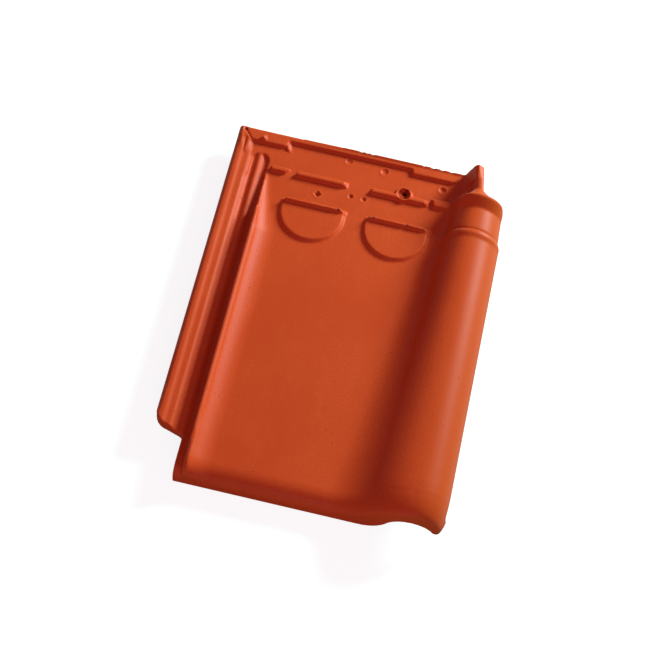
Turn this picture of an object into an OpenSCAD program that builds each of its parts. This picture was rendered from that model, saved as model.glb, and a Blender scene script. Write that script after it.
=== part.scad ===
// Interlocking clay roof tile, pressed and fired as one piece.
// X runs from the side lock to the roll, Y from the nose to the head, Z up.
// The tile lies as it rests on a level floor: on its nose lip and its two hanging lugs.

/* [Tile] */
// Width from the side lock to the outer edge of the roll
tile_w = 260; // [256:1:266]
// Length from the nose to the head
tile_l = 355; // [330:1:380]
// Height of the pan's upper face above the floor
pan_top = 22; // [20:0.5:24]
// Thickness of the clay under the pan
wall = 11; // [9:0.5:12]

/* [Roll] */
// Outer radius of the roll
roll_r = 28.5; // [27:0.5:30]
// Radius of the roll's left shoulder at the nose
shoulder_nose = 56; // [50:1:58]
// Radius of the roll's left shoulder at the bead
shoulder_head = 22; // [20:0.5:25]
// Height of the roll above the pan
roll_h = 28.5; // [27:0.5:30]
// Width of the roll's left flank at the nose
flank_nose = 73; // [70:1:75]
// Width of the roll's left flank at the bead
flank_head = 38; // [37:0.5:42]
// Width of the roll's left flank at its neck
flank_neck = 35; // [34:0.5:37]
// Angle from the crest to the roll's right edge
roll_angle = 74; // [70:1:80]

/* [Head lap of the roll] */
// Distance from the head edge to the bead that the next tile's nose meets
bead_back = 74; // [70:1:78]
// Height of the bead above the roll
bead_h = 1.4; // [0.6:0.1:1.8]
// Width of the bead
bead_w = 5; // [4:0.5:6]
// Step down from the roll to its neck
neck_step = 3; // [1.5:0.1:3.5]
// Outer radius of the neck
neck_r = 26.6; // [26:0.2:28]
// Distance from the head edge to the ridge over the roll
ridge_dist = 37; // [35:0.5:38]
// Height of the ridge above the roll
ridge_h = 3.2; // [1:0.2:3.6]
// Height of the fin behind the ridge above the pan
fin_h = 24.5; // [22:0.5:26]
// Radius over the crest of the fin
fin_r = 5; // [4.5:0.5:6]

/* [Nose] */
// Length over which the pan rolls down to the nose
nose_len = 16; // [13:1:20]
// Drop of the pan's upper face at the nose
nose_drop = 12; // [9:0.5:13]
// Length over which the roll closes in at the nose
roll_nose_len = 30; // [24:1:32]
// Drop of the roll's crest at the nose
roll_nose_drop = 10; // [7:0.5:11]
// Thickness of the nose lip from front to back
lip_t = 10; // [8:0.5:12]
// Height of the arch under the roll at the nose
arch_h = 27.2; // [25:0.2:29]

/* [Side lock] */
// Height of the outer rib above the pan
rib_h = 2.9; // [2.5:0.1:3.5]
// Height of the inner ledge above the pan
ledge_h = 1.3; // [0.8:0.1:1.6]
// Depth of the channel below the pan
channel_d = 2.7; // [1.8:0.1:3.2]
// Distance from the head edge to the channel's closed end
channel_stop = 24; // [21:1:28]
// Distance from the outer edge to the upstand's wall
upstand_x = 34.5; // [33.5:0.5:36]
// Width of the upstand's slope down to the pan
upstand_w = 20; // [18:0.5:22]
// Radius of the upstand's hollow slope
upstand_r = 30; // [28:1:34]

/* [Head ribs and pads] */
// Radius of the two half-round pads
pad_r = 31; // [29:0.5:32]
// Height of the pads above the pan
pad_h = 2.8; // [2:0.2:3]
// Height of the ribs on the pads above the pan
pad_rib_h = 6.2; // [4.6:0.2:6.6]
// Height of the weather ribs above the pan
weather_h = 3.8; // [2.6:0.2:4]
// Height of the head rib above the pan
head_rib_h = 3.4; // [2.4:0.2:3.6]

/* [Nail hole] */
// Radius of the nail hole
nail_r = 2.4; // [2:0.1:2.6]
// Radius of the boss around the nail hole
boss_r = 8; // [7.5:0.5:9]
// Radius of the recess in the boss
recess_r = 6; // [5.2:0.2:6]

/* [Hanging lugs] */
// Width of a lug
lug_w = 36; // [28:1:40]
// Depth of a lug from its bearing face to its back
lug_d = 12; // [10:1:13]

/* [Hidden] */
clay = [0.76, 0.30, 0.16];

// Segments of the roll, its left shoulder, the flank, the upstand, the rounded ends, the nose and the corners
roll_n = 28;
side_n = 13;
flank_n = 10;
slope_n = 9;
cap_n = 7;
nose_n = 9;
corner_n = 8;
round_fn = 64;

// Smallest distance between two cross-sections, and how deep a raised feature is set into the pan
station_gap = 0.1;
root = 4;
// Gap left at the head edge, the reach of a cut past the clay, and a small step that keeps faces apart
edge_gap = 0.6;
over = 5;
clear = 0.2;

// Roll: its axis, the radius of its hollow, and its rounded right edge
roll_x = tile_w - roll_r;
hollow_r = roll_r - wall;
cap_bulge = 0.85;

// Nose: the arch under the roll, and how the roll's edge closes in
arch_x = roll_x - 0.5;
arch_foot = 188;
arch_r = 22;
arch_angle = 57;
tip_angle = 18;
roll_nose_r = 5.5;
lip_back = lip_t + 3;

// Head lap: the bead with a groove behind it, the ramp up to the ridge, and the fin with its own hollow
bead_y = tile_l - bead_back;
bead_lo = bead_y - bead_w / 2;
bead_hi = bead_y + bead_w / 2;
bead_rise = 4;
bead_fall = 0.5;
bead_edge = 1;
groove_y = bead_hi + 0.5;
groove_end = bead_hi + 3;
groove_d = 1.2;
ridge_y = tile_l - ridge_dist;
ridge_r = 25.2;
ridge_shoulder = 20;
ridge_round = 1;
ramp_y = ridge_y - 9.5;
ramp_top = 0.93;
ridge_back = ridge_y + 1.8;
fin_step_y = ridge_back + 1.5;
fin_step = 0.4;
fin_y = ridge_back + 10;
fin_front_x = roll_x - 1;
fin_head_x = roll_x - 5;
fin_flank = 30.5;
lap_y = bead_hi + 2;
lap_step = 2;
fin_hollow_x = roll_x + 2;
fin_hollow_r = 12;
fin_hollow_h = 23;
fin_hollow_foot = 209;

// Side lock: the rounded outer edge, the ledge, the upstand and its fading end
edge_drop = [3, 1.2, 0.3];
edge_x = [0, 0.6, 2];
rib_flat = [3.5, 6.5];
ledge_l = 10;
ledge_r = 14.4;
ledge_foot = 17;
upstand_crest_r = 2.6;
upstand_back = -80;
upstand_lean = asin(upstand_w / upstand_r);
upstand_axis = upstand_x + clear - upstand_crest_r * sin(upstand_back);
upstand_foot = upstand_axis + upstand_crest_r * sin(upstand_lean) + upstand_w;
upstand_rise = upstand_r * (1 - cos(upstand_lean));
upstand_fade = tile_l - 107;
upstand_lap = tile_l - 67;
upstand_end = tile_l - 37;
lap_rise = 0.42;
lap_width = 0.4;
end_width = 0.15;

// Channel: its closed end, its left side, the radius of its closed end, and the low rib along it
channel_end = tile_l - channel_stop;
channel_l = 18;
channel_r = min(8, (upstand_x - clear - channel_l) / 2);
groove_w = 1;
groove_x = 19.6;
low_rib_x = 24.9;
low_rib_d = 0.3;
low_rib_w = 0.6;
low_rib_slope = 5;
closing = 32;
closed = 24;

// Pads, their ribs, and the slopes on the front, the back and the right end of a rib
pad_x = [85.3, 163.5];
pad_y = tile_l - 77;
pad_edge = pad_y + 8.5;
pad_rib_y = pad_edge - 3;
pad_rib_w = 2;
pad_rib_end = 1;
pad_rib_reach = 4.5;
rib_slope = 1;
rib_back = 2;
end_lean = 45;

// Weather ribs: both ends on the nose side, both ends on the head side, and the foot of the sloped right end
weather_y = tile_l - 42;
weather_w = 4;
weather_ends = [[60, 112, 67, 112, 111.5], [133, 190, 134, 183, 188], [38.5, 49.5, 38.5, 61, 60]];
hook_w = 7;
hook_ends = [194.5, 210, 188, 210, 214];
weather_lo = weather_y - 3;
weather_hi = weather_y + 12;

// Head rib: its widths on the left, in the middle and on the right, and where they change
head_wide = [12.5, 5.5, 10.5];
head_left = [2, 14, 46, 49];
head_mitre = 9.5;
head_right = [166, 167, 206, 214];
head_tail = 5;

// Nail boss and lugs
nail_at = [164.5, tile_l - 32.8];
boss_at = [163.2, tile_l - 35.6];
boss_h = 4.2;
boss_draft = 1;
recess_d = 4.4;
recess_draft = 0.4;
lug_x = [85.3, 163.5];
lug_face = tile_l - 17;
lug_draft = 2;

// Corner cuts at the nose and at the head
lock_cut_x = 27;
lock_cut_y = 36.5;
lock_cut_rise = 3.5;
lock_cut_turn = 10;
inner_r = 5;
outer_r = 13;
roll_cut_x = fin_front_x + 3;
roll_cut_head = fin_head_x + 3;
roll_cut_y = ridge_back + 2.5;
roll_cut_r = 10;
ridge_end_x = 256.5;
ridge_end_r = 9;

function mix(a, b, share) = a + (b - a) * share;
function flipped(list) = [for (i = [len(list) - 1:-1:0]) list[i]];

// A list in rising order, with values that lie closer than one step left out
function rising(list) =
    len(list) < 2 ? list :
    let (
        pivot = list[floor(len(list) / 2)],
        below = [for (v = list) if (v < pivot - station_gap) v],
        above = [for (v = list) if (v > pivot + station_gap) v]
    )
    concat(rising(below), [pivot], rising(above));

// How far a rounded nose has dropped at y, from 1 at the tip to 0 where it ends
function nose_share(y, len) = y >= len ? 0 : 1 - sqrt(1 - pow(1 - y / len, 2));

// Points on an arc in the cross-section, with angles from the upward direction towards the roll's edge
function arc(cx, cz, r, a0, a1, n) =
    [for (i = [0:n]) let (a = mix(a0, a1, i / n)) [cx + r * sin(a), cz + r * cos(a)]];

// Points on an arc in the plan
function corner(cx, cy, r, a0, a1) =
    [for (i = [0:corner_n]) let (a = mix(a0, a1, i / corner_n)) [cx + r * cos(a), cy + r * sin(a)]];

// Tangent arcs from a flat at z = base: hollow at the foot, then the left shoulder and the right side
function s_curve(cx, foot, base, h, shoulder, r, angle) =
    let (
        w = cx - foot,
        sum = (w * w + h * h) / (2 * h),
        turn = acos(1 - h / sum),
        hollow = sum - shoulder,
        rise = arc(cx, base + h - shoulder, shoulder, -turn, 0, side_n),
        fall = arc(cx, base + h - r, r, 0, angle, roll_n - side_n)
    )
    concat(
        arc(foot, base + hollow, hollow, 180, 180 - turn, flank_n),
        [for (i = [1:side_n]) rise[i]],
        [for (i = [1:roll_n - side_n]) fall[i]]
    );

// A half-round end from point a to point b, turning to the right of that direction
function end_cap(a, b) =
    let (m = (a + b) / 2, u = (a - b) / 2, v = [u[1], -u[0]] * cap_bulge)
    [for (i = [1:cap_n - 1]) let (t = 180 * i / cap_n) m + u * cos(t) + v * sin(t)];

// Growth of the roll along the tile: the bead, the groove, the neck, the ramp and the ridge
roll_growth = [
    [bead_lo - bead_rise, 0], [bead_lo, bead_h], [bead_hi - bead_edge, bead_h - bead_fall],
    [groove_y, -neck_step - groove_d], [groove_end, -neck_step], [ramp_y, -neck_step],
    [ridge_y - ridge_round, mix(-neck_step, ridge_h, ramp_top)], [ridge_y, ridge_h]
];
function fin_share(y) = lookup(y, [[ridge_back, 0], [fin_step_y, fin_step], [fin_y, 1]]);
function pan_z(y) = pan_top - nose_drop * nose_share(y, nose_len);
function fin_x(y) = lookup(y, [[fin_y, fin_front_x], [tile_l, fin_head_x]]);
function axis_x(y) = mix(roll_x, fin_x(y), fin_share(y));
function roll_top(y) =
    mix(roll_h + lookup(y, roll_growth), fin_h, fin_share(y)) - roll_nose_drop * nose_share(y, roll_nose_len);
function rounded(y, radii) =
    mix(lookup(y, radii), fin_r, fin_share(y)) - roll_nose_r * nose_share(y, roll_nose_len);
function roll_radius(y) = rounded(y, [[bead_lo, roll_r], [bead_hi, neck_r], [ridge_y, ridge_r]]);
function shoulder(y) = rounded(y, [[0, shoulder_nose], [bead_y, shoulder_head], [ridge_y, ridge_shoulder]]);
function flank_foot(y) =
    let (
        flank = lookup(y, [
            [0, flank_nose], [bead_lo - bead_rise, flank_head], [bead_lo, flank_head + bead_h],
            [bead_hi - bead_edge, flank_head], [groove_y, flank_neck]
        ])
    )
    roll_x - mix(flank, fin_flank, fin_share(y));

// Upper outline of the side lock above the pan: the outer rib with its ledge, then the upstand
outer_rib = concat(
    [for (i = [0:len(edge_x) - 1]) [edge_x[i], rib_h - edge_drop[i]]],
    [[rib_flat[0], rib_h], [rib_flat[1], rib_h], [ledge_l, ledge_h + clear]],
    [[ledge_r, ledge_h], [ledge_foot, 0], [upstand_x, 0]]
);
upstand = concat(
    arc(
        upstand_axis, upstand_rise - upstand_crest_r * cos(upstand_lean),
        upstand_crest_r, upstand_back, upstand_lean, cap_n
    ),
    flipped([for (i = [0:slope_n - 1]) let (a = upstand_lean * i / slope_n)
        [upstand_foot - upstand_r * sin(a), upstand_r * (1 - cos(a))]])
);
function lock_top(y) =
    let (
        rise = lookup(y, [[upstand_fade, 1], [upstand_lap, lap_rise], [upstand_end, 0]]),
        width = lookup(y, [[upstand_fade, 1], [upstand_lap, lap_width], [upstand_end, end_width]])
    )
    concat(
        [for (p = outer_rib) [p[0], pan_z(y) + p[1]]],
        [for (p = upstand) [mix(upstand_x, p[0], width), pan_z(y) + p[1] * rise]]
    );

function roll_outside(y) = s_curve(
    axis_x(y), flank_foot(y), pan_z(y), roll_top(y) + pan_top - pan_z(y),
    shoulder(y), roll_radius(y), roll_angle + tip_angle * nose_share(y, roll_nose_len)
);

// Underside of the roll: the low arch of the nose lip, then the hollow behind it
function roll_inside(y) =
    let (
        lap = y > lap_y ? lap_step : 0,
        share = fin_share(y),
        r = mix(hollow_r - lap, fin_hollow_r, share)
    )
    y <= lip_t
        ? s_curve(arch_x, arch_foot, 0, arch_h, arch_r, arch_r, arch_angle)
        : s_curve(
            mix(roll_x, fin_hollow_x, share), mix(flank_foot(y), fin_hollow_foot, share), pan_top - wall,
            mix(roll_h - lap, fin_hollow_h, share), r, r, roll_angle
        );

// Closed cross-section at y
function section(y) =
    let (
        outside = roll_outside(y),
        inside = roll_inside(y),
        floor_z = y <= lip_t ? 0 : pan_top - wall
    )
    concat(
        [[0, floor_z]],
        lock_top(y),
        outside,
        end_cap(outside[len(outside) - 1], inside[len(inside) - 1]),
        flipped(inside),
        [[upstand_x + root, floor_z]]
    );

// Places along the tile where the cross-section changes
stations = rising(concat(
    [for (i = [0:nose_n - 1]) lip_t * (1 - cos(90 * i / nose_n))],
    [lip_t, lip_back, nose_len, (nose_len + roll_nose_len) / 2, roll_nose_len],
    [for (p = roll_growth) p[0]],
    [bead_y, lap_y, lap_y + 1, upstand_fade, upstand_lap, upstand_end, ridge_back, fin_step_y, fin_y, tile_l]
));

// Triangles that close one end, by their places in the cross-section
function end_faces() =
    let (
        ledge = len(outer_rib),
        first = len(lock_top(0)) + 1,
        roll_last = first + flank_n + roll_n,
        inner_last = roll_last + cap_n,
        inner_first = inner_last + flank_n + roll_n,
        below = inner_first + 1
    )
    concat(
        [for (i = [1:ledge - 1]) [0, i, i + 1]],
        [[0, ledge, below]],
        [for (i = [ledge:first - 1]) [below, i, i + 1]],
        [[below, first, inner_first]],
        [for (i = [0:flank_n + roll_n - 1]) each [
            [first + i, first + i + 1, inner_first - i],
            [inner_first - i, first + i + 1, inner_first - i - 1]
        ]],
        [for (i = [roll_last + 1:inner_last - 1]) [roll_last, i, i + 1]]
    );

// Skin over the cross-sections, closed at the nose and the head
module lofted_body() {
    rings = [for (y = stations) [for (p = section(y)) [p[0], y, p[1]]]];
    n = len(rings[0]);
    last = (len(rings) - 1) * n;
    sides = [for (k = [0:n:last - n], i = [0:n - 1])
        let (j = (i + 1) % n)
        each [[k + i, k + n + i, k + j], [k + j, k + n + i, k + n + j]]];
    nose = end_faces();
    head = [for (f = nose) [last + f[2], last + f[1], last + f[0]]];
    polyhedron(points = [for (ring = rings) each ring], faces = concat(sides, nose, head), convexity = 8);
}

// A shape drawn in the plan, standing through the whole tile
module upright() {
    translate([0, 0, -over])
        linear_extrude(tile_w)
            children();
}

// A rib along X, h above the pan and w wide on top, cut to a plan outline.
// Its right end slopes down to the pan at x.
module rib(y, h, w, plan, x) {
    profile = [
        [-rib_slope, -root], [rib_slope, h], [rib_slope + w, h], [rib_slope + w + rib_back, -root]
    ];
    difference() {
        intersection() {
            translate([0, y, pan_top])
                rotate([90, 0, 90])
                    linear_extrude(tile_w)
                        polygon(profile);
            upright()
                polygon(plan);
        }
        translate([x, 0, pan_top])
            rotate([0, -end_lean, 0])
                translate([0, 0, -tile_w / 2])
                    cube([tile_w, tile_l, tile_w]);
    }
}

// Half-round pad with a rib along its straight edge
module pad(x) {
    half = sqrt(pow(pad_r - pad_h, 2) - pow(pad_edge - pad_y, 2));
    intersection() {
        translate([x, pad_y, pan_top - root])
            cylinder(h = root + pad_h, r1 = pad_r + root, r2 = pad_r - pad_h, $fn = round_fn);
        translate([x - tile_w / 2, 0, 0])
            cube([tile_w, pad_edge, tile_w]);
    }
    rib(pad_rib_y, pad_rib_h, pad_rib_w, [
        [x - half, pad_rib_y - over], [x + half + over, pad_rib_y - over],
        [x + half + over, pad_edge + over], [x - half + pad_rib_end, pad_edge + over]
    ], x + half + pad_rib_reach);
}

// One piece of the broken second weather rib
module weather_rib(ends, w) {
    rib(weather_y, weather_h, w, [
        [ends[0], weather_lo], [ends[1], weather_lo], [ends[3], weather_hi], [ends[2], weather_hi]
    ], ends[4]);
}

// Rib along the head edge, wider at both ends
module head_rib() {
    edge = tile_l - edge_gap;
    plan = [
        [head_left[0], edge], [head_left[0], edge - head_mitre],
        [head_left[1], edge - head_wide[0]], [head_left[2], edge - head_wide[0]],
        [head_left[3], edge - head_wide[1]], [head_right[0], edge - head_wide[1]],
        [head_right[1], edge - head_wide[2]], [head_right[2], edge - head_wide[2]],
        [head_right[3], edge - head_tail], [head_right[3], edge]
    ];
    translate([0, 0, pan_top - root])
        linear_extrude(root + head_rib_h)
            polygon(plan);
}

module nail_boss() {
    translate([boss_at[0], boss_at[1], pan_top - root])
        cylinder(h = root + boss_h, r1 = boss_r + boss_draft, r2 = boss_r - boss_draft, $fn = round_fn);
}

// Recess in the boss and the hole through the clay
module nail_cut() {
    translate([boss_at[0], boss_at[1], pan_top + boss_h - recess_d])
        cylinder(h = recess_d + clear, r1 = recess_r - recess_draft, r2 = recess_r, $fn = round_fn);
    translate([nail_at[0], nail_at[1], -over])
        cylinder(h = tile_w, r = nail_r, $fn = round_fn);
}

// Channel of the side lock: two grooves with a low rib between them, round at the head end
module channel_cut() {
    inner = upstand_x - clear;
    profile = [
        [ledge_r, ledge_h + clear], [groove_x, -channel_d], [groove_x + groove_w, -channel_d - clear],
        [low_rib_x, -low_rib_d], [low_rib_x + low_rib_w, -low_rib_d],
        [low_rib_x + low_rib_w + low_rib_slope, -channel_d], [inner, -channel_d], [inner, over], [ledge_r, over]
    ];
    plan = concat(
        [[inner + over, -over]],
        corner(inner - channel_r, channel_end - channel_r, channel_r, 0, 90),
        corner(channel_l + channel_r, channel_end - channel_r, channel_r, 90, 180),
        [[channel_l, channel_end - closed], [ledge_r - 1, channel_end - closing], [ledge_r - 1, -over]]
    );
    intersection() {
        translate([0, tile_l, pan_top])
            rotate([90, 0, 0])
                linear_extrude(tile_l + over)
                    polygon(profile);
        upright()
            polygon(plan);
    }
}

// Lug that hooks over a batten, with its upright bearing face to the nose
module lug(x) {
    rise = pan_top - wall + clear;
    profile = [[0, 0], [lug_d - lug_draft, 0], [lug_d, rise], [0, rise]];
    translate([x - lug_w / 2, lug_face, 0])
        rotate([90, 0, 90])
            linear_extrude(lug_w)
                polygon(profile);
}

// Corner cut at the nose, where the side lock stops short
module lock_cut() {
    top = lock_cut_y + lock_cut_rise + outer_r;
    upright()
        polygon(concat(
            [[-over, -over], [lock_cut_x, -over]],
            corner(lock_cut_x - inner_r, lock_cut_y - inner_r, inner_r, 0, 90 - lock_cut_turn),
            corner(outer_r, top, outer_r, 270 - lock_cut_turn, 180),
            [[-over, top]]
        ));
}

// Corner cut at the head, where the right half of the roll stops behind the ridge
module roll_cut() {
    upright()
        polygon(concat(
            [[tile_w + over, tile_l + over], [roll_cut_head, tile_l + over]],
            corner(roll_cut_x + roll_cut_r, roll_cut_y + roll_cut_r, roll_cut_r, 180, 270),
            corner(ridge_end_x - ridge_end_r, roll_cut_y - ridge_end_r, ridge_end_r, 90, 0),
            [[tile_w + over, roll_cut_y - ridge_end_r - over]]
        ));
}

module roof_tile() {
    color(clay)
        translate([-tile_w / 2, -tile_l / 2, 0])
            difference() {
                union() {
                    lofted_body();
                    for (x = pad_x) pad(x);
                    for (ends = weather_ends) weather_rib(ends, weather_w);
                    weather_rib(hook_ends, hook_w);
                    head_rib();
                    nail_boss();
                    for (x = lug_x) lug(x);
                }
                nail_cut();
                channel_cut();
                lock_cut();
                roll_cut();
            }
}

roof_tile();
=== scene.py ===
"""Dresses the interlocking clay roof tile: soft pressed edges, press marks and fired clay."""
import logging
import math
from dataclasses import dataclass
from enum import Enum
from typing import Any, Mapping, Sequence, Union

import bmesh
import bpy
import numpy as np
from mathutils import Matrix, Vector


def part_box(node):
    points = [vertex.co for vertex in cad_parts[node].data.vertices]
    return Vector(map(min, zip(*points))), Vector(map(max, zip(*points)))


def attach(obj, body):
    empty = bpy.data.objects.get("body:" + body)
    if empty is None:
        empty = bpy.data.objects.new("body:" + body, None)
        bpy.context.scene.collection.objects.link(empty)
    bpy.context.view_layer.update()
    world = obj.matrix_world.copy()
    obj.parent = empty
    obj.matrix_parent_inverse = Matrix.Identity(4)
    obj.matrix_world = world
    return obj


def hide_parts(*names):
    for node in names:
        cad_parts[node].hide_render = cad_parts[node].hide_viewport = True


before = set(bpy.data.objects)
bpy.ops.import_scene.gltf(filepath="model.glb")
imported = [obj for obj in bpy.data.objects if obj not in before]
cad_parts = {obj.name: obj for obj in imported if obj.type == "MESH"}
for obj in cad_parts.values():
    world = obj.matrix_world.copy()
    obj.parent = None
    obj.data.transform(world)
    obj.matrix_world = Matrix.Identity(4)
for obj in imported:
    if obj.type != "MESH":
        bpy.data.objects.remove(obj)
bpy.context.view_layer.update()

LOG = logging.getLogger("roof_tile")

Colour = tuple[float, float, float, float]
Point = tuple[float, float, float]
Place = tuple[float, float]
Link = Union["Signal", float, Sequence[float]]

MM = 0.001
WHITE: Colour = (1.0, 1.0, 1.0, 1.0)


@dataclass(frozen=True)
class Step:
    """A smooth step from 0 at one value to 1 at another, which may be the lower of the two."""

    zero: float
    one: float


@dataclass(frozen=True)
class Noise:
    """Soft noise: the size of a patch in metres, the number of finer layers and their strength."""

    MIDDLE = 0.5

    size: float
    detail: float = 2.0
    rough: float = 0.5


class Signal:
    """A value on a surface; arithmetic on it adds Math nodes to its shader."""

    def __init__(self, shader: "Shader", socket: bpy.types.NodeSocket) -> None:
        """Wraps an output socket of the shader."""
        self.shader = shader
        self.socket = socket

    def _math(self, operation: str, first: Link, second: Link) -> "Signal":
        """Adds one Math node for an operation on two values."""
        return self.shader.node("ShaderNodeMath", {"operation": operation}, {0: first, 1: second})

    def __add__(self, other: Link) -> "Signal":
        """Returns self + other."""
        return self._math("ADD", self, other)

    def __radd__(self, other: Link) -> "Signal":
        """Returns other + self."""
        return self._math("ADD", other, self)

    def __sub__(self, other: Link) -> "Signal":
        """Returns self - other."""
        return self._math("SUBTRACT", self, other)

    def __rsub__(self, other: Link) -> "Signal":
        """Returns other - self."""
        return self._math("SUBTRACT", other, self)

    def __mul__(self, other: Link) -> "Signal":
        """Returns self * other."""
        return self._math("MULTIPLY", self, other)

    def __rmul__(self, other: Link) -> "Signal":
        """Returns other * self."""
        return self._math("MULTIPLY", other, self)

    def either(self, other: Link) -> "Signal":
        """Returns the larger of self and other."""
        return self._math("MAXIMUM", self, other)

    def stepped(self, step: Step) -> "Signal":
        """Returns a smooth step along self.

        Args:
            step: The values of self at which the result is 0 and 1.

        Returns:
            The step as a value from 0 to 1.
        """
        rising = step.zero < step.one
        low, high = (step.zero, step.one) if rising else (step.one, step.zero)
        first, last = (0.0, 1.0) if rising else (1.0, 0.0)
        return self.shader.node(
            "ShaderNodeMapRange", {"interpolation_type": "SMOOTHSTEP"},
            {0: self, 1: low, 2: high, 3: first, 4: last},
        )


class Shader:
    """The node tree of one material or of the world."""

    VIEW_RAYS = ("Is Camera Ray", "Is Glossy Ray", "Is Transmission Ray")

    def __init__(self, tree: bpy.types.NodeTree) -> None:
        """Starts from an empty tree."""
        self.tree = tree
        self.tree.nodes.clear()

    def node(
        self,
        kind: str,
        settings: Mapping[str, Any],
        sockets: Mapping[Union[int, str], Link],
        output: Union[int, str] = 0,
    ) -> Signal:
        """Adds a node.

        Args:
            kind: Blender's name of the node's type.
            settings: Settings of the node, set first.
            sockets: Values or links of its input sockets, by place or name.
            output: The output that is returned, by place or name.

        Returns:
            The chosen output of the new node.
        """
        made = self.tree.nodes.new(kind)
        for name, value in settings.items():
            setattr(made, name, value)
        for place, value in sockets.items():
            if isinstance(value, Signal):
                self.tree.links.new(value.socket, made.inputs[place])
            else:
                made.inputs[place].default_value = value
        return Signal(self, made.outputs[output] if len(made.outputs) else made.inputs[0])

    def mix(self, share: Link, first: Link, second: Link) -> Signal:
        """Returns a colour between two colours.

        Args:
            share: 0 for the first colour, 1 for the second.
            first: First colour.
            second: Second colour.

        Returns:
            The mixed colour.
        """
        sockets = {0: share, 6: first, 7: second}
        return self.node("ShaderNodeMix", {"data_type": "RGBA"}, sockets, 2)

    def place(self, stretch: Point = (1.0, 1.0, 1.0)) -> Signal:
        """Returns the place on the piece in metres, stretched along the axes."""
        point = self.node("ShaderNodeTexCoord", {}, {}, "Object")
        return self.node("ShaderNodeMapping", {}, {"Vector": point, "Scale": stretch})

    def attribute(self, name: str) -> Signal:
        """Returns a value that is stored on the piece's points."""
        return self.node("ShaderNodeAttribute", {"attribute_name": name}, {}, "Fac")

    def noise(self, point: Signal, noise: Noise) -> Signal:
        """Returns soft noise.

        Args:
            point: Place on the piece.
            noise: Size and layers of the noise.

        Returns:
            Noise about its middle.
        """
        sockets = {
            "Vector": point, "Scale": 1.0 / noise.size,
            "Detail": noise.detail, "Roughness": noise.rough,
        }
        return self.node("ShaderNodeTexNoise", {}, sockets)

    def spots(self, point: Signal, spacing: float) -> Signal:
        """Returns the distance to the nearest of many scattered spots, in spacings."""
        sockets = {"Vector": point, "Scale": 1.0 / spacing}
        return self.node("ShaderNodeTexVoronoi", {"feature": "F1"}, sockets)

    def seen(self) -> Signal:
        """Returns 1 for camera, gloss and glass rays, and 0 for rays that light the tile."""
        straight, glossy, through = (
            self.node("ShaderNodeLightPath", {}, {}, name) for name in self.VIEW_RAYS
        )
        return straight.either(glossy).either(through)


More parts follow.
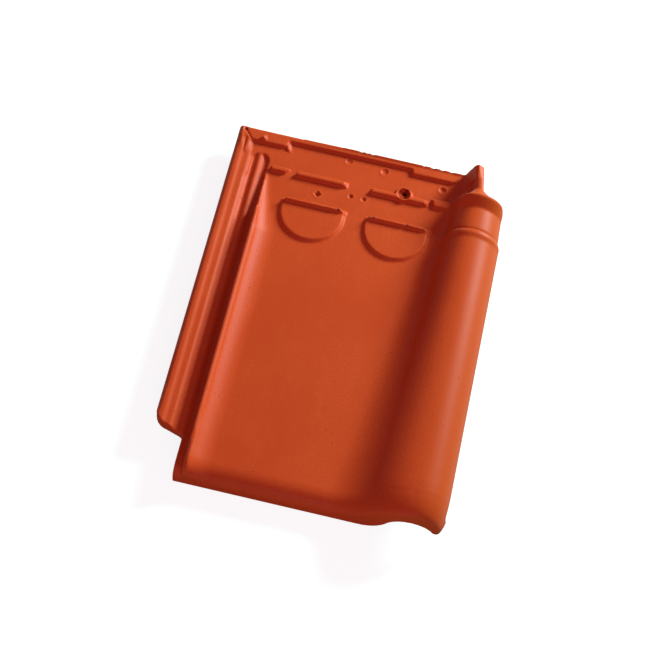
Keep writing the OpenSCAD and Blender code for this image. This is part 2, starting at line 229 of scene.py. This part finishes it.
@dataclass(frozen=True)
class FiredClay:
    """Finish of unglazed red clay, pressed in a mould and fired once; lengths are in metres."""

    # Colours: the body, its paler and deeper patches (the deeper one also serves as painted shade
    # in creases), rubbed edges, painted shade over the roll's right side that dims its highlight,
    # and pits (their colour also serves as painted shade in chips and the nail hole)
    body: Colour = (0.508, 0.089, 0.0185, 1.0)
    pale: Colour = (0.532, 0.104, 0.0250, 1.0)
    deep: Colour = (0.475, 0.074, 0.0145, 1.0)
    rubbed: Colour = (0.600, 0.210, 0.090, 1.0)
    # Painted shade that dims the roll's right side and its highlight
    roll_side_shade: Colour = (0.392, 0.070, 0.0095, 1.0)
    # Dark colour of the pits, also used as painted shade in chips and the nail hole
    pit_and_chip_shade: Colour = (0.200, 0.030, 0.012, 1.0)
    roughness: float = 0.42
    specular: float = 0.105

    # Noise that spreads the colours, the stretch of the patches and the spacing of the pits
    cloud: Noise = Noise(0.085, 3.0, 0.55)
    patch: Noise = Noise(0.014, 4.0, 0.6)
    grain: Noise = Noise(0.0022, 3.0, 0.62)
    dust: Noise = Noise(0.0009, 1.0)
    spread: Noise = Noise(0.030)
    drawn: Point = (1.0, 0.35, 1.0)
    pit_spacing: float = 0.0075

    # Where each of them sets in
    body_step: Step = Step(0.36, 0.66)
    pale_step: Step = Step(0.46, 0.78)
    deep_step: Step = Step(0.62, 0.36)
    rubbed_step: Step = Step(0.30, 0.62)
    edge_step: Step = Step(0.10, 0.34)
    # Painted shade: deep colour where the skin bends into a crease
    crease_shade_step: Step = Step(-0.08, -0.30)
    # Painted shade across the roll's right side, set by the distance across the tile in metres
    roll_side_shade_step: Step = Step(0.089, 0.118)
    pit_step: Step = Step(0.105, 0.06)
    spread_step: Step = Step(0.52, 0.66)
    # Painted shade in chips and the nail hole
    chip_shade_step: Step = Step(0.02, 0.4)

    # The largest share of each in the colour
    pale_share: float = 0.55
    deep_share: float = 0.75
    rubbed_share: float = 0.42
    crease_shade_share: float = 0.35
    pit_share: float = 0.8
    chip_shade_share: float = 0.92

    # What each adds to the roughness
    patch_rough: float = 0.12
    edge_rough: float = 0.06
    pit_rough: float = 0.2
    steep_rough: float = 0.5

    # Height of the fine relief, and the depth of the pits
    grain_relief: float = 0.10 * MM
    dust_relief: float = 0.035 * MM
    patch_relief: float = 0.04 * MM
    pit_relief: float = 0.18 * MM

    def material(self) -> bpy.types.Material:
        """Returns the clay as a material of nodes."""
        made = bpy.data.materials.new("fired_clay")
        made.use_nodes = True
        shader = Shader(made.node_tree)
        point = shader.place()
        cloud = shader.noise(point, self.cloud)
        patch = shader.noise(shader.place(self.drawn), self.patch)
        grain = shader.noise(point, self.grain)
        dust = shader.noise(point, self.dust)
        spread = shader.noise(point, self.spread)
        spots = shader.spots(point, self.pit_spacing)
        pits = spots.stepped(self.pit_step) * spread.stepped(self.spread_step)
        bend = shader.attribute(PressedTile.BEND)
        chip_shade = shader.attribute(PressedTile.CHIP_SHADE)
        steep = shader.attribute(PressedTile.STEEP)
        across = shader.node("ShaderNodeSeparateXYZ", {}, {0: point}, "X")
        edge = bend.stepped(self.edge_step)
        crease_shade = bend.stepped(self.crease_shade_step)
        worn = edge * grain.stepped(self.rubbed_step)

        colour = shader.mix(cloud.stepped(self.body_step), self.deep, self.body)
        for share, layer in (
            (patch.stepped(self.pale_step) * self.pale_share, self.pale),
            (grain.stepped(self.deep_step) * self.deep_share, self.deep),
            (worn * self.rubbed_share, self.rubbed),
            # painted shade in creases
            (crease_shade * self.crease_shade_share, self.deep),
            # painted shade over the roll's right side
            (across.stepped(self.roll_side_shade_step), self.roll_side_shade),
            (pits * self.pit_share, self.pit_and_chip_shade),
            # painted shade in chips and the nail hole
            (chip_shade.stepped(self.chip_shade_step) * self.chip_shade_share, self.pit_and_chip_shade),
        ):
            colour = shader.mix(share, colour, layer)

        roughness = (
            self.roughness
            + (patch - Noise.MIDDLE) * self.patch_rough
            + edge * self.edge_rough
            + pits * self.pit_rough
            + steep * self.steep_rough
        )
        height = (
            (grain - Noise.MIDDLE) * self.grain_relief
            + (dust - Noise.MIDDLE) * self.dust_relief
            + (patch - Noise.MIDDLE) * self.patch_relief
            - pits * self.pit_relief
        )
        normal = shader.node(
            "ShaderNodeBump", {}, {"Strength": 1.0, "Distance": 1.0, "Height": height}, "Normal",
        )
        surface = shader.node(
            "ShaderNodeBsdfPrincipled", {},
            {
                "Base Color": colour, "Roughness": roughness, "Normal": normal,
                "Specular IOR Level": self.specular, "Metallic": 0.0,
            },
        )
        shader.node("ShaderNodeOutputMaterial", {}, {"Surface": surface})
        return made


class Outline(Enum):
    """Outline of a dimple seen from above."""

    ROUND = "round"
    DIAMOND = "diamond"


@dataclass(frozen=True)
class Dimple:
    """A shallow press mark in the upper face; places are from the tile's left nose corner in mm."""

    # In radii: where the bowl begins, the width of its slope, and the place and width of its rim
    BOWL = 1.15
    SLOPE = 0.75
    RIM = 1.25
    RIM_WIDTH = 0.22

    x: float
    y: float
    radius: float
    depth: float
    rim: float
    outline: Outline = Outline.ROUND

    def lift(self, points: np.ndarray) -> np.ndarray:
        """Returns how far each point moves up.

        Args:
            points: Places of the points in mm, one row each.

        Returns:
            The lift of each point in mm.
        """
        across = (points[:, 0] - self.x) / self.radius
        along = (points[:, 1] - self.y) / self.radius
        if self.outline is Outline.DIAMOND:
            reach = np.abs(across) + np.abs(along)
        else:
            reach = np.hypot(across, along)
        bowl = np.clip(self.BOWL - reach, 0.0, self.SLOPE) / self.SLOPE
        ring = np.exp(-((reach - self.RIM) / self.RIM_WIDTH) ** 2)
        return self.rim * ring - self.depth * bowl * bowl * (3.0 - 2.0 * bowl)


@dataclass(frozen=True)
class Groove:
    """A fine pressed line in the upper face; places are from the tile's left nose corner in mm."""

    # How fast the groove gets shallow beside its line
    FALL = 2.0

    start: Place
    end: Place
    width: float
    depth: float

    def lift(self, points: np.ndarray) -> np.ndarray:
        """Returns how far each point moves up.

        Args:
            points: Places of the points in mm, one row each.

        Returns:
            The lift of each point in mm, below 0 in the groove.
        """
        start, run = np.array(self.start), np.array(self.end) - np.array(self.start)
        share = np.clip(((points[:, :2] - start) @ run) / (run @ run), 0.0, 1.0)
        away = np.linalg.norm(points[:, :2] - start - share[:, None] * run, axis=1) / self.width
        return -self.depth * np.exp(-self.FALL * away * away)


@dataclass(frozen=True)
class WornEdge:
    """An edge along the tile, rubbed round; places are from the tile's left nose corner in mm."""

    x: float
    low: float
    high: float
    width: float
    depth: float

    def lift(self, points: np.ndarray) -> np.ndarray:
        """Returns how far each point moves up.

        Args:
            points: Places of the points in mm, one row each.

        Returns:
            The lift of each point in mm, below 0 near the edge.
        """
        along = points[:, 1]
        near = np.clip(1.0 - np.abs(points[:, 0] - self.x) / self.width, 0.0, 1.0)
        ends = np.clip(np.minimum(along - self.low, self.high - along) / self.width, 0.0, 1.0)
        return -self.depth * near * near * ends


@dataclass(frozen=True)
class Chip:
    """A small break in an edge, deepest at its middle; places are as for a dimple."""

    x: float
    y: float
    z: float
    radius: float
    depth: float

    def sink(self, points: np.ndarray) -> np.ndarray:
        """Returns how far each point sinks below the skin.

        Args:
            points: Places of the points in mm, one row each.

        Returns:
            The sinking of each point in mm.
        """
        middle = np.array([self.x, self.y, self.z])
        reach = np.linalg.norm(points - middle, axis=1) / self.radius
        return self.depth * np.clip(1.0 - reach * reach, 0.0, 1.0)


@dataclass(frozen=True)
class Facet:
    """A small raised facet of the mould: the hull of its corners, placed as for a dimple."""

    corners: tuple[Point, ...]

    def add_to(self, shape: bmesh.types.BMesh, origin: Vector) -> None:
        """Adds the facet to a shape.

        Args:
            shape: The shape that takes the facet.
            origin: Place of the tile's left nose corner in metres.
        """
        made = [shape.verts.new(origin + Vector(corner) * MM) for corner in self.corners]
        bmesh.ops.convex_hull(shape, input=made)


@dataclass(frozen=True)
class PressedTile:
    """The tile: the CAD solid with soft edges, mould facets, press marks and chips; sizes in mm."""

    # Values that are stored on the tile's points for its finish
    BEND = "bend"
    CHIP_SHADE = "chip_shade"
    STEEP = "steep"

    # Upward share of the normal below which a face counts as steep, and the shortest edge in metres
    STEEP_BELOW = 0.5
    SHORTEST = 1e-9

    node: str = "roof_tile"
    merge: float = 0.002
    voxel: float = 0.85
    soften: int = 3
    soften_share: float = 0.5
    triangles: int = 185_000
    facets: tuple[Facet, ...] = (
        # Three-cornered nib on the head rib
        Facet((
            (20.2, 342.4, 23.8), (30.4, 342.6, 23.8), (27.5, 351.0, 23.8),
            (22.6, 345.4, 29.2), (23.8, 346.4, 29.0),
        )),
        # Tongue that runs out of the left head rib
        Facet((
            (45.0, 351.5, 20.0), (47.0, 339.5, 20.0), (52.5, 349.0, 20.0), (53.5, 337.0, 20.0),
            (46.3, 350.8, 25.4), (48.3, 340.5, 24.0), (51.4, 349.0, 21.9), (52.8, 337.8, 21.9),
        )),
        # Outer rib turning up at the head corner
        Facet((
            (0.8, 353.0, 22.0), (9.6, 330.0, 22.0), (2.8, 353.0, 26.6), (5.6, 332.0, 25.4),
            (1.0, 353.0, 24.4), (4.0, 331.5, 24.8), (6.8, 352.5, 24.8), (9.6, 330.0, 23.7),
        )),
        # Slope from the head corner down to the ledge
        Facet((
            (9.0, 344.0, 21.0), (14.6, 325.0, 21.0), (9.0, 329.0, 21.0),
            (11.6, 344.0, 25.6), (10.4, 329.0, 24.6), (9.0, 344.0, 25.2),
            (9.0, 329.0, 24.2), (15.4, 341.0, 22.2), (14.6, 325.5, 22.6),
        )),
        # Crest of the upstand
        Facet((
            (34.6, 28.0, 29.6), (37.0, 28.0, 30.0), (36.0, 28.0, 26.5), (34.6, 28.0, 26.5),
            (34.6, 62.0, 31.0), (35.4, 62.0, 32.1), (37.6, 62.0, 31.6), (40.0, 62.0, 29.4),
            (34.6, 240.0, 31.0), (35.4, 240.0, 32.1), (37.6, 240.0, 31.6), (40.0, 240.0, 29.4),
            (34.6, 270.0, 29.6), (37.0, 270.0, 30.0), (36.0, 270.0, 26.5), (34.6, 270.0, 26.5),
        )),
        # Back edge of the head rib, a little raised by the press
        Facet((
            (62.0, 352.0, 25.2), (62.0, 354.9, 25.6), (62.0, 354.9, 22.0), (62.0, 352.0, 22.0),
            (120.0, 354.9, 26.9),
            (212.0, 352.0, 25.2), (212.0, 354.9, 27.2), (212.0, 354.9, 22.0), (212.0, 352.0, 22.0),
        )),
        # Shoulder of the fin at the head
        Facet((
            (215.6, 354.8, 29.6), (218.0, 354.8, 34.2), (219.8, 354.8, 40.2), (221.6, 354.8, 45.6),
            (224.4, 354.8, 48.4), (227.6, 354.8, 47.0), (218.0, 354.8, 27.0), (221.0, 354.8, 32.0),
            (224.0, 354.8, 38.0), (228.0, 354.8, 42.0), (219.4, 340.0, 31.2), (222.2, 340.0, 38.0),
            (223.8, 340.0, 43.4), (226.0, 340.0, 46.6), (229.0, 340.0, 46.6), (220.0, 340.0, 29.0),
            (222.5, 340.0, 33.0), (225.0, 340.0, 38.0), (229.0, 340.0, 42.0),
        )),
    )
    grooves: tuple[Groove, ...] = (
        Groove((6.2, 351.5), (13.4, 342.6), width=0.9, depth=0.9),
        Groove((8.6, 330.0), (8.9, 344.0), width=0.8, depth=0.5),
    )
    edges: tuple[WornEdge, ...] = (
        WornEdge(x=0.0, low=50.0, high=345.0, width=4.0, depth=2.0),
    )
    dimples: tuple[Dimple, ...] = (
        Dimple(85.8, 300.4, radius=3.6, depth=2.1, rim=0.30, outline=Outline.DIAMOND),
        Dimple(116.0, 305.8, radius=2.3, depth=1.5, rim=0.20),
        Dimple(128.3, 305.8, radius=2.3, depth=1.4, rim=0.20),
        Dimple(107.0, 343.4, radius=3.2, depth=0.8, rim=0.20),
        Dimple(141.4, 340.7, radius=3.4, depth=1.0, rim=0.25),
        Dimple(197.5, 335.0, radius=3.2, depth=1.4, rim=0.40),
    )
    # Chips; the darkening in each of them is painted shade
    chips: tuple[Chip, ...] = (
        # Head edge and head corner
        Chip(116.2, 354.6, 26.0, radius=2.4, depth=0.8),
        Chip(121.8, 354.6, 26.0, radius=1.7, depth=0.6),
        Chip(127.2, 354.6, 26.0, radius=2.6, depth=0.8),
        Chip(176.0, 354.6, 26.0, radius=1.7, depth=0.6),
        Chip(184.8, 354.6, 26.0, radius=2.6, depth=0.9),
        Chip(193.3, 354.6, 26.0, radius=2.3, depth=0.8),
        Chip(202.3, 354.6, 26.0, radius=2.5, depth=0.8),
        Chip(6.2, 351.6, 25.2, radius=1.9, depth=0.9),
        # Ribs on the pads
        Chip(108.0, 285.0, 28.0, radius=1.7, depth=0.9),
        Chip(140.5, 285.4, 28.0, radius=1.7, depth=0.8),
        Chip(171.9, 285.4, 28.0, radius=1.7, depth=0.9),
        Chip(188.0, 286.0, 28.0, radius=1.4, depth=0.6),
        # Nail boss; the darkening in these chips is painted shade that deepens the nail hole
        Chip(166.4, 325.4, 23.4, radius=2.8, depth=0.5),
        Chip(161.0, 315.4, 23.0, radius=2.2, depth=0.4),
        # Outer rib
        Chip(1.2, 78.0, 24.0, radius=1.8, depth=0.6),
        Chip(1.2, 66.0, 24.0, radius=1.5, depth=0.5),
        Chip(1.2, 130.0, 24.4, radius=1.4, depth=0.5),
    )

    def build(self) -> bpy.types.Object:
        """Returns the tile as one piece, placed on its body and standing for its CAD node."""
        low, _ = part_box(self.node)
        origin = Vector(low)
        mesh = self._fused(origin)
        piece = bpy.data.objects.new("pressed_tile", mesh)
        bpy.context.scene.collection.objects.link(piece)
        self._remesh(piece)
        self._press(piece.data, origin)
        self._thin(piece)
        self._mark(piece.data, origin)
        piece.data.shade_smooth()
        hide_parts(self.node)
        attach(piece, "root")
        LOG.info("pressed_tile: %d polygons", len(piece.data.polygons))
        return piece

    @staticmethod
    def dress(piece: bpy.types.Object, clay: FiredClay) -> None:
        """Gives the tile its clay."""
        piece.data.materials.clear()
        piece.data.materials.append(clay.material())

    def _fused(self, origin: Vector) -> bpy.types.Mesh:
        """Returns a merged copy of the CAD mesh with the mould facets standing in it.

        Args:
            origin: Place of the tile's left nose corner in metres.

        Returns:
            The new mesh.
        """
        shape = bmesh.new()
        shape.from_mesh(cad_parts[self.node].data)
        bmesh.ops.remove_doubles(shape, verts=shape.verts[:], dist=self.merge * MM)
        for facet in self.facets:
            facet.add_to(shape, origin)
        mesh = bpy.data.meshes.new("pressed_tile")
        shape.to_mesh(mesh)
        shape.free()
        return mesh

    @staticmethod
    def _apply(piece: bpy.types.Object) -> None:
        """Applies every modifier on the piece to its mesh."""
        graph = bpy.context.evaluated_depsgraph_get()
        done = bpy.data.meshes.new_from_object(piece.evaluated_get(graph), depsgraph=graph)
        piece.modifiers.clear()
        old = piece.data
        piece.data = done
        bpy.data.meshes.remove(old)

    def _remesh(self, piece: bpy.types.Object) -> None:
        """Turns the piece into an even skin and rounds its edges."""
        remesh = piece.modifiers.new("skin", "REMESH")
        remesh.mode = "VOXEL"
        remesh.voxel_size = self.voxel * MM
        self._apply(piece)
        shape = bmesh.new()
        shape.from_mesh(piece.data)
        for _ in range(self.soften):
            bmesh.ops.smooth_vert(
                shape, verts=shape.verts[:], factor=self.soften_share,
                use_axis_x=True, use_axis_y=True, use_axis_z=True,
            )
        shape.to_mesh(piece.data)
        shape.free()

    @staticmethod
    def _points(mesh: bpy.types.Mesh) -> tuple[np.ndarray, np.ndarray]:
        """Returns the places in metres and the normals of a mesh's points, one row each."""
        count = len(mesh.vertices)
        places = np.empty(count * 3, dtype=np.float32)
        mesh.vertices.foreach_get("co", places)
        normals = np.empty(count * 3, dtype=np.float32)
        mesh.vertex_normals.foreach_get("vector", normals)
        return places.reshape(count, 3).astype(np.float64), normals.reshape(count, 3)

    def _press(self, mesh: bpy.types.Mesh, origin: Vector) -> None:
        """Moves the skin's points for the dimples, grooves, worn edges and chips.

        Args:
            mesh: The skin.
            origin: Place of the tile's left nose corner in metres.
        """
        corner = np.array(origin)
        places, normals = self._points(mesh)
        places = (places - corner) / MM
        upper = np.clip(normals[:, 2], 0.0, 1.0)
        marks = (*self.dimples, *self.grooves, *self.edges)
        lift = sum(mark.lift(places) for mark in marks)
        sink = sum(chip.sink(places) for chip in self.chips)
        places[:, 2] += lift * upper
        places -= normals * sink[:, None]
        mesh.vertices.foreach_set("co", (places * MM + corner).astype(np.float32).ravel())
        mesh.update()

    def _thin(self, piece: bpy.types.Object) -> None:
        """Joins triangles where the skin is flat, down to the set number."""
        count = sum(len(polygon.vertices) - 2 for polygon in piece.data.polygons)
        thin = piece.modifiers.new("thin", "DECIMATE")
        thin.ratio = min(1.0, self.triangles / count)
        self._apply(piece)

    def _bend(
        self, mesh: bpy.types.Mesh, places: np.ndarray, normals: np.ndarray,
    ) -> np.ndarray:
        """Returns how much the skin bends at each point.

        Args:
            mesh: The skin.
            places: Places of its points in metres, one row each.
            normals: Normals of its points, one row each.

        Returns:
            The bend of each point, above 0 on edges and below 0 in creases.
        """
        ends = np.empty(len(mesh.edges) * 2, dtype=np.int32)
        mesh.edges.foreach_get("vertices", ends)
        ends = ends.reshape(-1, 2)
        first, last = ends[:, 0], ends[:, 1]
        run = places[last] - places[first]
        length = np.maximum(np.linalg.norm(run, axis=1), self.SHORTEST)
        rise = np.zeros(len(places))
        used = np.zeros(len(places))
        np.add.at(rise, first, -np.einsum("ij,ij->i", run, normals[first]) / length)
        np.add.at(rise, last, np.einsum("ij,ij->i", run, normals[last]) / length)
        np.add.at(used, ends.ravel(), 1.0)
        return rise / np.maximum(used, 1.0)

    def _mark(self, mesh: bpy.types.Mesh, origin: Vector) -> None:
        """Stores on each point its bend, the painted shade in chips and how steep it stands.

        Args:
            mesh: The skin.
            origin: Place of the tile's left nose corner in metres.
        """
        places, normals = self._points(mesh)
        inside = (places - np.array(origin)) / MM
        # painted shade in chips, deepest at their middles
        chip_shade = sum(chip.sink(inside) / chip.depth for chip in self.chips)
        steep = 1.0 - normals[:, 2] / self.STEEP_BELOW
        for name, values in (
            (self.BEND, self._bend(mesh, places, normals)),
            (self.CHIP_SHADE, np.clip(chip_shade, 0.0, 1.0)),
            (self.STEEP, np.clip(steep, 0.0, 1.0)),
        ):
            layer = mesh.attributes.new(name, "FLOAT", "POINT")
            layer.data.foreach_set("value", values.astype(np.float32))


@dataclass(frozen=True)
class PlainFloor:
    """White paper floor that shows the tile's shadow; lengths are in metres."""

    half: float = 4.0
    drop: float = 0.0004
    paper: Colour = (0.24, 0.50, 0.42, 1.0)
    glow: float = 0.87

    def build(self) -> bpy.types.Object:
        """Returns the floor."""
        shape = bmesh.new()
        level = Matrix.Translation((0.0, 0.0, -self.drop))
        bmesh.ops.create_grid(shape, x_segments=2, y_segments=2, size=self.half, matrix=level)
        mesh = bpy.data.meshes.new("floor")
        shape.to_mesh(mesh)
        shape.free()
        floor = bpy.data.objects.new("floor", mesh)
        bpy.context.scene.collection.objects.link(floor)
        floor.data.materials.append(self.material())
        return floor

    def material(self) -> bpy.types.Material:
        """Returns paper that evens out the tint of the light and looks white to the camera."""
        made = bpy.data.materials.new("floor_paper")
        made.use_nodes = True
        shader = Shader(made.node_tree)
        paper = shader.node("ShaderNodeBsdfDiffuse", {}, {"Color": self.paper})
        strength = shader.seen() * self.glow
        glow = shader.node("ShaderNodeEmission", {}, {"Color": WHITE, "Strength": strength})
        surface = shader.node("ShaderNodeAddShader", {}, {0: paper, 1: glow})
        shader.node("ShaderNodeOutputMaterial", {}, {"Surface": surface})
        return made


@dataclass(frozen=True)
class Lamp:
    """One round soft lamp on a sphere round the tile; angles in degrees, lengths in metres."""

    name: str
    azimuth: float
    elevation: float
    distance: float
    size: float
    watts: float
    colour: Point = (1.0, 1.0, 1.0)
    aim: Point = (0.0, 0.0, 0.03)

    def build(self) -> None:
        """Adds the lamp to the scene."""
        around, up = math.radians(self.azimuth), math.radians(self.elevation)
        level = math.cos(up)
        towards = Vector((math.cos(around) * level, math.sin(around) * level, math.sin(up)))
        light = bpy.data.lights.new(self.name, "AREA")
        light.shape = "DISK"
        light.size = self.size
        light.energy = self.watts
        light.color = self.colour
        lamp = bpy.data.objects.new(self.name, light)
        lamp.location = Vector(self.aim) + towards * self.distance
        lamp.rotation_euler = towards.to_track_quat("Z", "Y").to_euler()
        bpy.context.scene.collection.objects.link(lamp)


@dataclass(frozen=True)
class StudioLight:
    """A key lamp low at the head's right, a weak lamp before the nose and an even fill."""

    key: Lamp = Lamp(
        "key", azimuth=48.0, elevation=24.5, distance=1.9, size=0.70, watts=61.0,
    )
    front: Lamp = Lamp(
        "front", azimuth=-80.0, elevation=25.0, distance=1.8, size=0.90, watts=8.0,
        colour=(1.0, 0.45, 0.50),
    )
    fill: float = 0.28
    tint: Colour = (1.0, 0.22, 0.42, 1.0)

    def build(self) -> None:
        """Adds the lamps and the fill."""
        self.key.build()
        self.front.build()
        self._world()

    def _world(self) -> None:
        """Sets an even fill that the camera sees as white."""
        world = bpy.data.worlds.new("studio")
        world.use_nodes = True
        bpy.context.scene.world = world
        shader = Shader(world.node_tree)
        seen = shader.seen()
        colour = shader.mix(seen, self.tint, WHITE)
        strength = self.fill + seen * (1.0 - self.fill)
        light = shader.node("ShaderNodeBackground", {}, {"Color": colour, "Strength": strength})
        shader.node("ShaderNodeOutputWorld", {}, {"Surface": light})


@dataclass(frozen=True)
class PhotoCamera:
    """Camera at the photograph's place; angles in degrees, lengths in metres, focal in pixels."""

    azimuth: float = 3.07
    elevation: float = 61.28
    roll: float = 10.3
    distance: float = 1.48363
    target: Point = (-0.00304, -0.01199, 0.02)
    focal: float = 1682.66
    pixels: float = 660.0
    sensor_mm: float = 36.0
    near: float = 0.01
    far: float = 50.0

    def build(self) -> bpy.types.Object:
        """Returns the camera, set as the scene's own."""
        around, up, roll = (math.radians(a) for a in (self.azimuth, self.elevation, self.roll))
        level = math.cos(up)
        back = Vector((math.sin(around) * level, -math.cos(around) * level, math.sin(up)))
        right = Vector((math.cos(around), math.sin(around), 0.0))
        above = back.cross(right)
        across = right * math.cos(roll) + above * math.sin(roll)
        upward = above * math.cos(roll) - right * math.sin(roll)
        lens = bpy.data.cameras.new("photo_camera")
        lens.sensor_fit = "HORIZONTAL"
        lens.sensor_width = self.sensor_mm
        lens.lens = self.focal * self.sensor_mm / self.pixels
        lens.clip_start = self.near
        lens.clip_end = self.far
        camera = bpy.data.objects.new("photo_camera", lens)
        place = Matrix((across, upward, back)).transposed().to_4x4()
        place.translation = Vector(self.target) + back * self.distance
        camera.matrix_world = place
        bpy.context.scene.collection.objects.link(camera)
        bpy.context.scene.camera = camera
        return camera


def main() -> None:
    """Builds the camera, the tile, the floor and the light."""
    logging.basicConfig(level=logging.INFO, format="%(name)s %(message)s")
    bpy.context.scene.view_settings.view_transform = "Standard"
    PhotoCamera().build()
    tile = PressedTile()
    tile.dress(tile.build(), FiredClay())
    PlainFloor().build()
    StudioLight().build()


if __name__ == "__main__":
    main()
